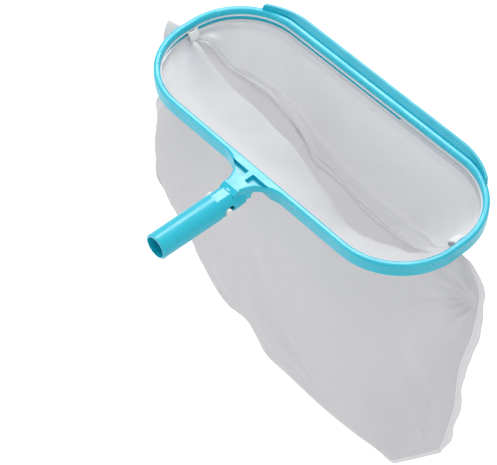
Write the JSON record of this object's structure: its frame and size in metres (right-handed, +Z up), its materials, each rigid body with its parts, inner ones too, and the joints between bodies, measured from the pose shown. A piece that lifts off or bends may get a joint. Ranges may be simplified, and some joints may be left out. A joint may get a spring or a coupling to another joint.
{
  "type": "leaf skimmer net",
  "caption": "Deep-bag leaf skimmer net: rounded-oblong plastic hoop with yoke and tubular handle, scoop lip, hanging fine-mesh bag and spring pole clip.",
  "frame": {"origin": "on the handle's axis, in the middle of the round stretch that the pole slides over", "axes": "-Y points along the handle, out of its open end; the hoop lies towards +Y; +Z is up out of the net's mouth and the bag hangs towards -Z; +X runs along the hoop"},
  "size_m": [0.4398, 0.3167, 0.484],
  "materials": {
    "blue_plastic": "satin moulded polypropylene, light turquoise",
    "lip_plastic": "satin, slightly softer moulded strip",
    "white_nylon": "natural white nylon",
    "mesh_cloth": "fine translucent white nylon mesh",
    "white_tape": "folded white woven tape"
  },
  "bodies": {
    "net": {"hoop_frame": "blue_plastic", "scoop_lip": "lip_plastic", "rim_strip_near_left": "blue_plastic", "rim_strip_near_right": "blue_plastic", "rim_strip_far_left": "blue_plastic", "rim_strip_far_right": "blue_plastic", "hem_tape_near": "white_tape", "hem_tape_far": "white_tape", "mesh_near_panel": "mesh_cloth", "mesh_far_panel": "mesh_cloth", "side_seam_left": "white_tape", "side_seam_right": "white_tape", "seam_tab_left": "white_tape", "seam_tab_right": "white_tape", "bottom_seam": "white_tape", "clip_bow": "white_nylon"},
    "clip_arm_left": {"clip_arm_left": "white_nylon"},
    "clip_arm_right": {"clip_arm_right": "white_nylon"}
  },
  "joints": [
    {"name": "clip_button_left", "type": "hinge", "parent": "net", "child": "clip_arm_left", "pos_m": [-0.0034, -0.0028, 0], "axis": [0, 0, -1], "range_deg": [0, 3.5], "stiffness_Nm_per_rad": 2},
    {"name": "clip_button_right", "type": "hinge", "parent": "net", "child": "clip_arm_right", "pos_m": [0.0034, -0.0028, 0], "axis": [0, 0, 1], "range_deg": [0, 3.5], "stiffness_Nm_per_rad": 2}
  ]
}
